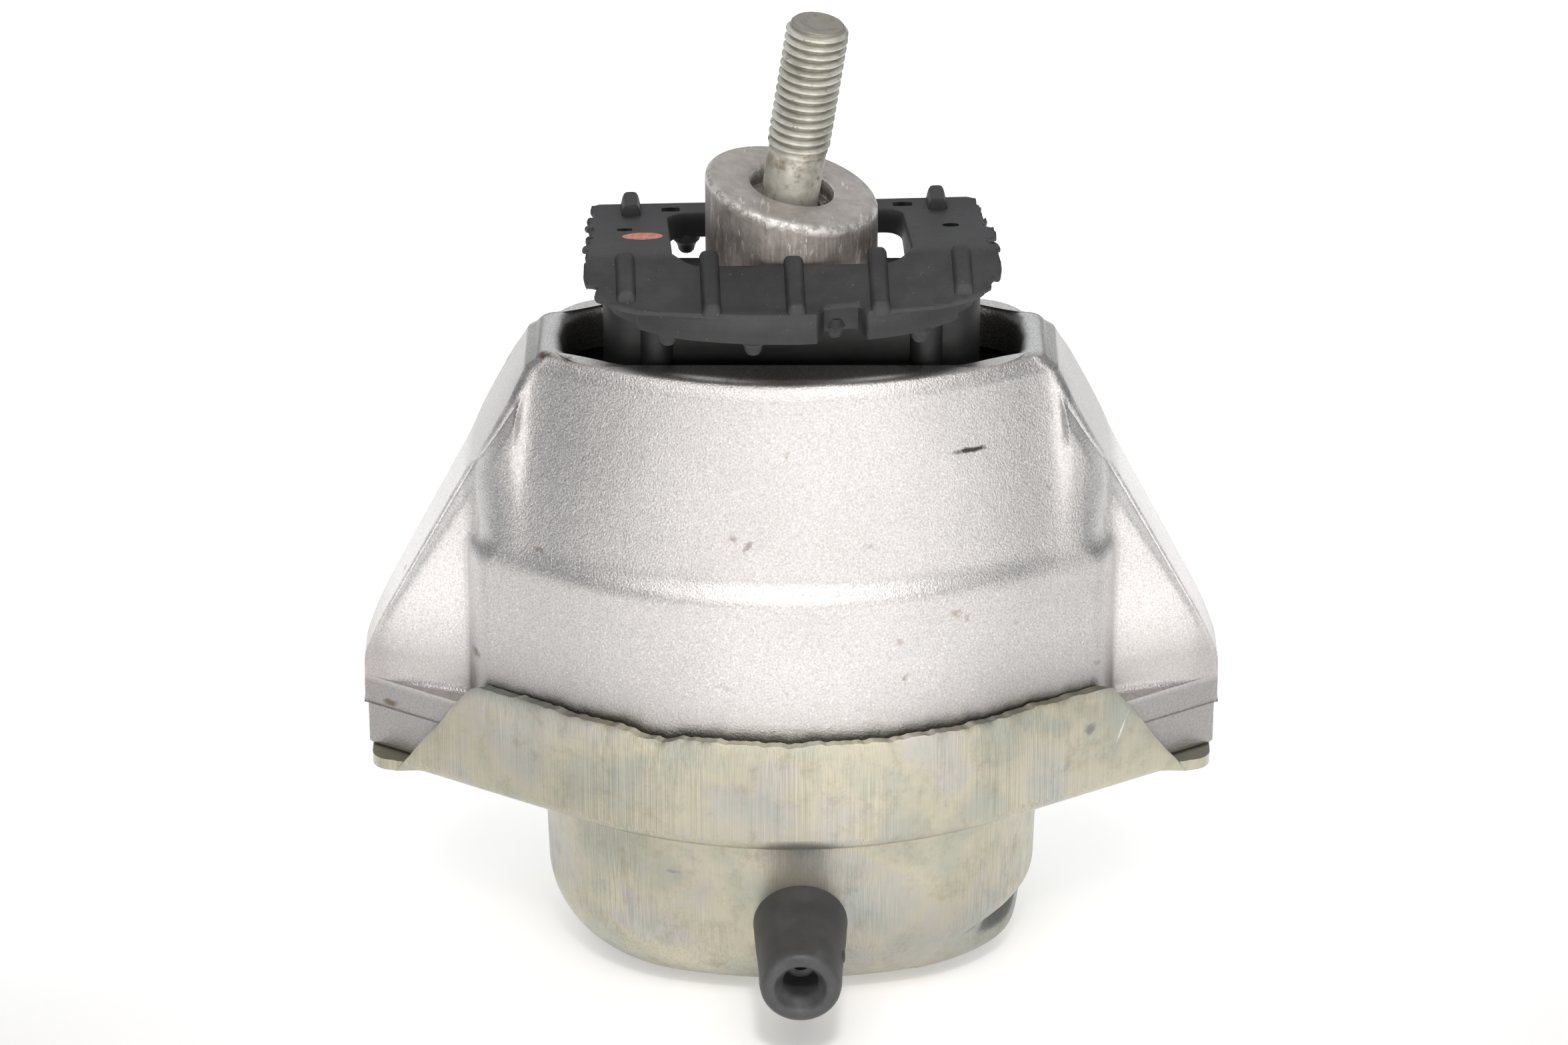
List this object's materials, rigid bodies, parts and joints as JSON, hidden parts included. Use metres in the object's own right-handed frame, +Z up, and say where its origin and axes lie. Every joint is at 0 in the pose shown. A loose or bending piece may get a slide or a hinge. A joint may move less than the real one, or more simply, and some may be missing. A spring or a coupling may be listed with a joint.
{
  "type": "hydraulic engine mount",
  "caption": "Vacuum-switched hydraulic engine mount: an aluminium bell crimped on a drawn steel cup, with a leaning top stud, a rubber stop buffer and a vacuum sleeve.",
  "frame": {"origin": "middle of the flat bottom of the base cup", "axes": "+Z up through the boss and stud, the two lugs lie along X with the stud leaning to +X, and the vacuum sleeve points to -Y"},
  "size_m": [0.1412, 0.0846, 0.1671],
  "materials": {
    "blasted_aluminium": "shot-blasted, faintly pink grey, matte",
    "core_aluminium": "cast, stained brown grey, machined face",
    "cup_steel": "drawn sheet, dull olive passivated zinc, draw marks",
    "stud_steel": "zinc plated, dull and dirty",
    "spring_rubber": "matte black",
    "buffer_rubber": "dusty charcoal, matte",
    "sleeve_rubber": "slate grey, semi-matte",
    "inner_steel": "phosphated",
    "plate_aluminium": "die cast, plain"
  },
  "bodies": {
    "root": {"housing": "blasted_aluminium", "base_cup": "cup_steel", "core": "core_aluminium", "stud": "stud_steel", "stop_buffer": "buffer_rubber", "load_spring": "spring_rubber", "vacuum_sleeve": "sleeve_rubber", "vacuum_nipple": "inner_steel", "support_ring": "inner_steel", "upper_channel_plate": "plate_aluminium", "lower_channel_plate": "plate_aluminium", "decoupler_membrane": "spring_rubber", "bellows": "spring_rubber", "bellows_disc": "inner_steel", "return_spring": "inner_steel", "upper_seal_ring": "spring_rubber", "plate_rivet_1": "inner_steel", "plate_rivet_2": "inner_steel", "plate_rivet_3": "inner_steel", "plate_rivet_4": "inner_steel"}
  },
  "joints": []
}
